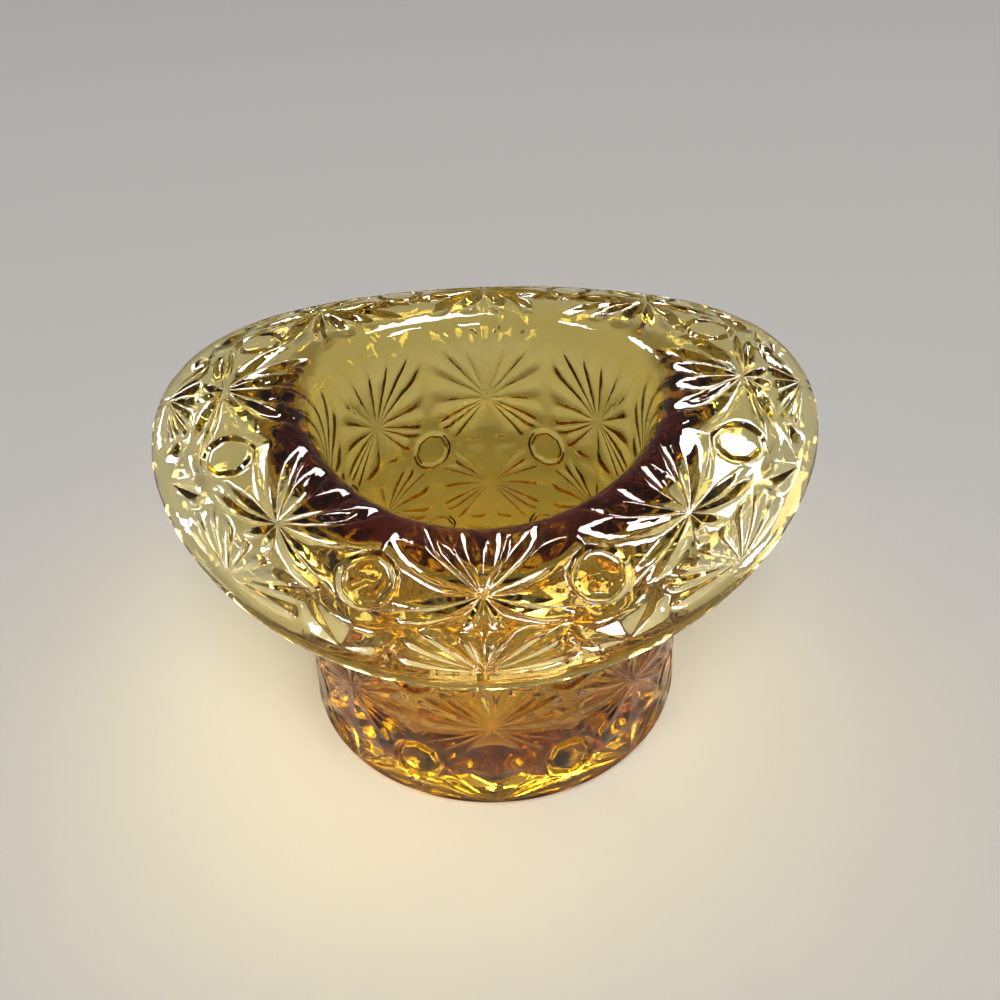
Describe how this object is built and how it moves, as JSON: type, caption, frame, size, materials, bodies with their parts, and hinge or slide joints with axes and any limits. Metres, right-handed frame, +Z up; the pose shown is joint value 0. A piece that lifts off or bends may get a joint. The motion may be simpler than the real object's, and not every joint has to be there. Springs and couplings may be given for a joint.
{
  "type": "pressed glass hat",
  "caption": "Pressed amber glass hat standing on its crown, with a round hollow, a rolled mouth and a swayed brim; daisy and button pattern outside, smooth inside.",
  "frame": {"origin": "centre of the closed end of the crown, on the face the hat stands on", "axes": "+Z up out of the mouth, +X to the lifted wide side of the brim on the viewer's right, -Y to the front where the brim dips"},
  "size_m": [0.102, 0.1006, 0.063],
  "materials": {
    "amber_glass": "fire-polished gloss"
  },
  "bodies": {
    "root": {"base": "amber_glass", "crown_wall": "amber_glass", "throat": "amber_glass", "brim": "amber_glass", "lip": "amber_glass"}
  },
  "joints": []
}
